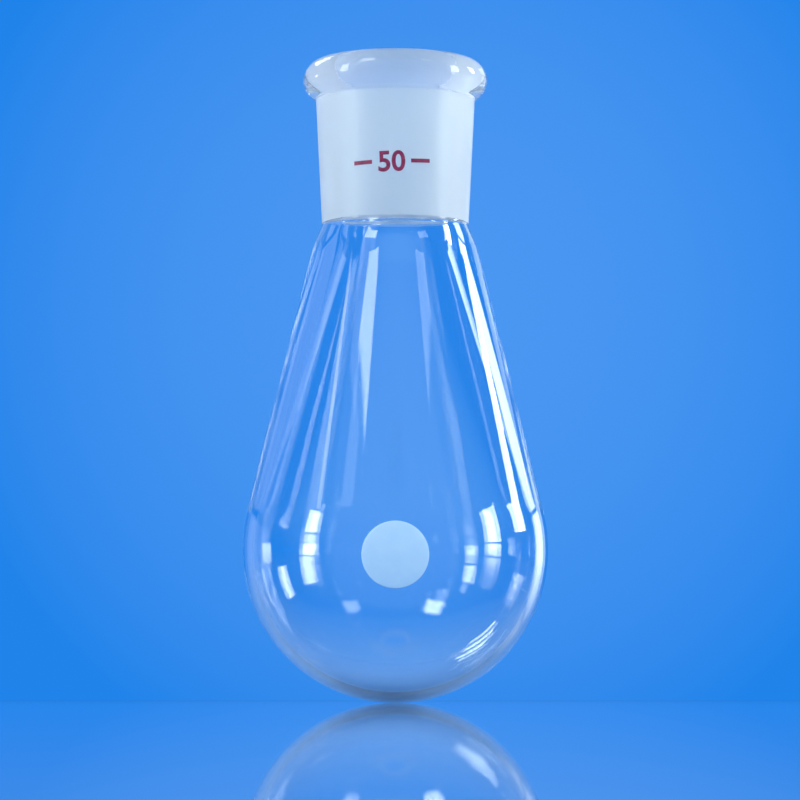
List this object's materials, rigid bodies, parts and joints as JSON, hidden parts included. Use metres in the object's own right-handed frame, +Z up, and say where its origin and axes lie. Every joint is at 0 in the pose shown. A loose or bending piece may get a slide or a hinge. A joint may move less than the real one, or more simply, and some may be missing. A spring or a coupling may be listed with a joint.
{
  "type": "recovery flask",
  "caption": "Pear-shaped recovery flask of clear glass, blown in one piece, with a round bottom, a tapered ground socket, a beaded rim and a round white marking spot.",
  "frame": {"origin": "lowest point of the round bottom, on the flask's axis", "axes": "+Z up the flask's axis, out of the mouth; the marking spot faces -Y"},
  "size_m": [0.047, 0.0471, 0.0995],
  "materials": {
    "clear_glass": "polished",
    "white_enamel": "satin"
  },
  "bodies": {
    "root": {"flask": "clear_glass", "marking_spot": "white_enamel"}
  },
  "joints": []
}
